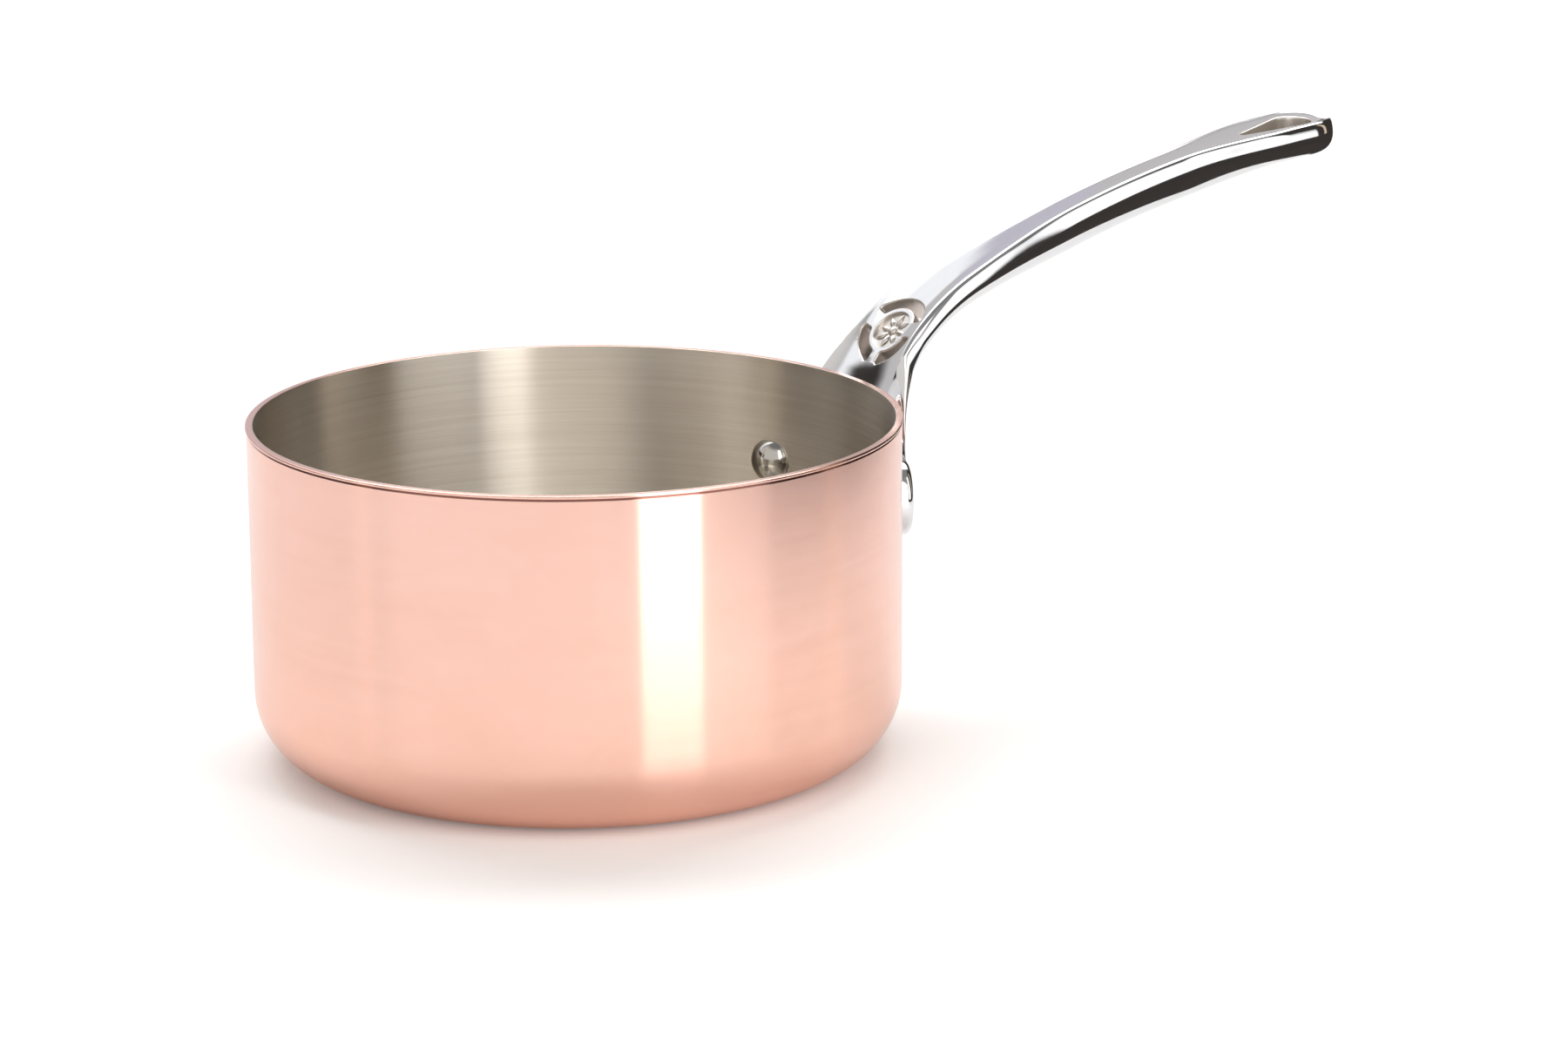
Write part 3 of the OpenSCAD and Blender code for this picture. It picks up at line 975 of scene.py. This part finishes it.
def brushed_lining():
    """Stainless steel with brushing that runs round the pan, in streaks and dull patches."""
    material, tree, place = shading("brushed_lining")
    wide, thin = lathe_lines(tree, place, 1.0, 700, 2400)[2:]
    patches = noise(tree, place, 9, 3.0, 0.5)
    dull, clean = (0.66, 0.60, 0.53, 1), (0.90, 0.86, 0.79, 1)
    streaks = (wide * 0.7 + thin * 0.5 - 0.15 + (patches - 0.5) * 0.5).clamped()
    tone = mixed(tree, streaks, dull, clean)
    rough = (0.33 + (wide - 0.5) * 0.12 + (patches - 0.5) * 0.05).clamped()
    surface(tree, tone, rough, wide * 0.15 + thin * 0.85, 0.006 * MM, BRUSHED_ROUND)
    return material


def polished_steel(name, tone, rough, wave):
    """Steel of a given tone and gloss, with smears, scratches and the waves of a casting."""
    material, tree, place = shading(name)
    cast = noise(tree, place, 34, 3.0, 0.5)
    smears = noise(tree, place, 60, 4.0, 0.6, 1.5)
    scratches = noise(tree, place, 1, 2.0, 0.7, stretch=(90, 900, 900))
    dull = tuple(c * 0.9 for c in tone[:3]) + (1,)
    colour = mixed(tree, (smears * 0.8 - 0.1).clamped(), tone, dull)
    roughness = (rough + (smears - 0.5) * 0.05 + (scratches - 0.5) * 0.03).clamped()
    surface(tree, colour, roughness, cast + scratches * 0.01, wave)
    return material


# ---------------------------------------------------------------- pieces

copper = polished_copper()
lining_steel = brushed_lining()
cast_steel = polished_steel("polished_cast_steel", (0.80, 0.80, 0.81, 1), 0.07, 0.06 * MM)
# Satin steel for the faces the cuts leave and for the rosette: the rougher finish is real, its
# darker brown tone is painted shade and painted reflection
satin_steel_painted_shade = polished_steel("satin_steel_painted_shade", (0.70, 0.66, 0.62, 1), 0.34, 0.02 * MM)
# Rivet steel: its darker, browner tone is painted shade
painted_shade_rivet_steel = polished_steel("polished_rivet_steel", (0.60, 0.58, 0.55, 1), 0.12, 0.01 * MM)

lathe = lathe_group()
pan = lathed("copper_pan", pan_profile(), lathe, copper)
skin = lathed("lining", lining_profile(), lathe, lining_steel)
rivets = []
rivet_tree = rivet_group(lathe)
for side, sign in (("left", 1), ("right", -1)):
    stock = new_object("rivet_" + side + "_dome", [(r, 0, h) for r, h in rivet_profile()])
    rivets.append(made_by(stock, rivet_tree, {
        "Segments": RIVET_SEGMENTS, "Wall Radius": float(BORE_R), "Side Angle": sign * RIVET_ANGLE,
        "Height": float(RIVET_Z), "Material": painted_shade_rivet_steel}))
handle = cast_handle()
handle.data.materials.append(cast_steel)
handle = cut_from(handle, handle_cutters(), satin_steel_painted_shade)
rosette = made_by(petal(), rosette_group(), {
    "Petals": PETALS, "Ring Radius": PETAL_RING_R, "Boss Radius": BOSS_R, "Boss Height": BOSS_H,
    "Tilt": -float(slope(MEDAL_POS)),
    "Centre": tuple(map(float, on_arm(np.array(MEDAL_POS), 0.0, MEDAL_FLOOR))),
    "Material": satin_steel_painted_shade})

for piece in [pan, skin, handle, rosette] + rivets:
    smooth(piece)
    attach(piece, "root")
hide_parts("copper_shell")
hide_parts("steel_lining")
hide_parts("handle")
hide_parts("rivet_left")
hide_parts("rivet_right")


# ---------------------------------------------------------------- studio

HEADING = math.radians(57.49)

# Azimuth of the middle, half width, softness, lowest and highest elevation, softness, colour
PANELS = [
    # The table's glow, and the dark ceiling
    (0, 180, 0, -100, 4, 6, (0.60, 0.57, 0.57)),
    (0, 180, 0, 40, 100, 6, (0.25, 0.25, 0.25)),
    # A wide white wall to the left of the camera
    (-160, 60, 15, -20, 60, 10, (0.80, 0.77, 0.74)),
    # The dark room: to the right, low on the right, and far left
    (-10, 50, 8, -100, 62, 5, (0.045, 0.04, 0.036)),
    (-45, 60, 8, -100, 4, 1.5, (0.05, 0.045, 0.042)),
    (140, 32, 6, -100, 26, 2, (0.04, 0.035, 0.032)),
    # Two narrow tan stands in the dark
    (-20, 5, 1.5, -5, 50, 5, (0.75, 0.62, 0.46)),
    (162, 3.5, 1.5, -5, 45, 5, (0.70, 0.58, 0.44)),
    # A white card and a lilac strip behind the pan
    (100, 32, 3, 26, 66, 2, (1.12, 1.13, 1.15)),
    (68, 4.5, 1.5, 5, 40, 3, (0.62, 0.60, 0.68)),
    # Softboxes: to the camera's right, and overhead behind the pan
    (-66, 15, 3, -1, 62, 1.5, (1.35, 1.35, 1.35)),
    (60, 52, 10, 44, 72, 5, (5.4, 5.4, 5.4)),
]


def studio_world():
    """A studio by direction: panels given by azimuth and elevation, each over the last."""
    world = bpy.data.worlds.new("studio")
    bpy.context.scene.world = world
    world.use_nodes = True
    world.node_tree.nodes.clear()
    tree = Tree(world.node_tree)
    look = Socket(tree, tree.add("ShaderNodeTexCoord").outputs["Generated"])
    parts = tree.add("ShaderNodeSeparateXYZ", None, {"Vector": look})
    x, y, z = (Socket(tree, parts.outputs[axis]) for axis in "XYZ")
    flat = (x * x + y * y).math("SQRT").math("MAXIMUM", 1e-6)
    height = z.math("ARCSINE") * (180 / math.pi)
    light = (0.62, 0.60, 0.60, 1)
    for middle, half, soft, low, high, rim, colour in PANELS:
        a = math.radians(middle)
        facing = (x * math.cos(a) + y * math.sin(a)) / flat
        wide = 1.0
        if half < 180:
            wide = facing.ramp(math.cos(math.radians(min(180, half + soft))),
                               math.cos(math.radians(max(0, half - soft))))
        mask = height.ramp(low - rim, low + rim) * height.ramp(high - rim, high + rim, 1.0, 0.0)
        light = mixed(tree, mask * wide, light, colour + (1,))
    away = tree.out("ShaderNodeLightPath", output="Is Camera Ray")
    seen = mixed(tree, away, light, (1, 1, 1, 1))
    back = tree.out("ShaderNodeBackground", None, {"Color": seen, "Strength": 1.0})
    tree.add("ShaderNodeOutputWorld", None, {"Surface": back})


def key_light():
    """A tall strip softbox close by, to the camera's right: it draws the pan's bright band."""
    away, up = 0.45, 0.4
    light = bpy.data.lights.new("key_strip", "AREA")
    light.shape, light.size, light.size_y = "RECTANGLE", 0.15, 0.8
    light.energy, light.color = 1.15, (1.0, 0.97, 0.93)
    strip = bpy.data.objects.new("key_strip", light)
    a = math.radians(-91.5)
    place = Vector((away * math.cos(a), away * math.sin(a), up))
    aim = Vector((-math.cos(a), -math.sin(a), 0)).to_track_quat("-Z", "Y")
    strip.matrix_world = Matrix.Translation(place) @ aim.to_matrix().to_4x4()
    strip.visible_camera = False
    bpy.context.scene.collection.objects.link(strip)


def pale_floor():
    """A wide white table. It glows a little for the camera, so that it ends in pure white."""
    half = 6
    floor = new_object("floor", [(-half, -half, 0), (half, -half, 0), (half, half, 0),
                                 (-half, half, 0)], [(0, 1, 2, 3)])
    material, tree, place = shading("pale_floor")
    cloud = noise(tree, place, 3.0, 2.0)
    tone = mixed(tree, cloud, (0.86, 0.86, 0.86, 1), (0.9, 0.9, 0.9, 1))
    soft = tree.out("ShaderNodeBsdfDiffuse", None, {"Color": tone})
    seen = tree.out("ShaderNodeLightPath", output="Is Camera Ray")
    lift = tree.out("ShaderNodeEmission", None, {"Strength": seen * 0.13})
    both = tree.out("ShaderNodeAddShader", None, {0: soft, 1: lift})
    tree.add("ShaderNodeOutputMaterial", None, {"Surface": both})
    floor.data.materials.append(material)


def dark_card():
    """The end of the white table, to the camera's right: only reflections show it."""
    a = HEADING - math.pi / 2
    near, far, half, level = 0.295, 6, 5.5, 50 * MM
    across, away = Vector((math.cos(a), math.sin(a), 0)), Vector((-math.sin(a), math.cos(a), 0))
    corners = [across * x + away * y + Vector((0, 0, level))
               for x, y in ((near, -half), (far, -half), (far, half), (near, half))]
    card = new_object("dark_card", corners, [(0, 1, 2, 3)])
    material, tree, place = shading("dark_card")
    cloud = noise(tree, place, 4.0, 2.0)
    tone = mixed(tree, cloud, (0.035, 0.03, 0.028, 1), (0.06, 0.052, 0.048, 1))
    dark = tree.out("ShaderNodeEmission", None, {"Color": tone})
    clear = tree.out("ShaderNodeBsdfTransparent")
    below = tree.out("ShaderNodeNewGeometry", output="Backfacing")
    either = tree.out("ShaderNodeMixShader", None, {0: below, 1: dark, 2: clear})
    tree.add("ShaderNodeOutputMaterial", None, {"Surface": either})
    card.data.materials.append(material)
    card.visible_camera = card.visible_diffuse = card.visible_shadow = False


def camera():
    """A long lens in front of the pan, to the left of the handle, looking a little down."""
    pitch, roll = math.radians(14.605), math.radians(-0.285)
    stand = (-0.74183, -1.28489, 0.45954)
    ahead = Vector((math.cos(HEADING) * math.cos(pitch), math.sin(HEADING) * math.cos(pitch),
                    -math.sin(pitch)))
    side = Vector((math.sin(HEADING), -math.cos(HEADING), 0))
    up = side.cross(ahead)
    right = side * math.cos(roll) + up * math.sin(roll)
    top = up * math.cos(roll) - side * math.sin(roll)
    data = bpy.data.cameras.new("camera")
    data.lens, data.sensor_width, data.clip_start = 112.22, 36, 0.05
    eye = bpy.data.objects.new("camera", data)
    turn = Matrix((right, top, -ahead)).transposed().to_4x4()
    eye.matrix_world = Matrix.Translation(stand) @ turn
    bpy.context.scene.collection.objects.link(eye)
    bpy.context.scene.camera = eye


studio_world()
key_light()
pale_floor()
dark_card()
camera()
bpy.context.scene.view_settings.view_transform = "Standard"
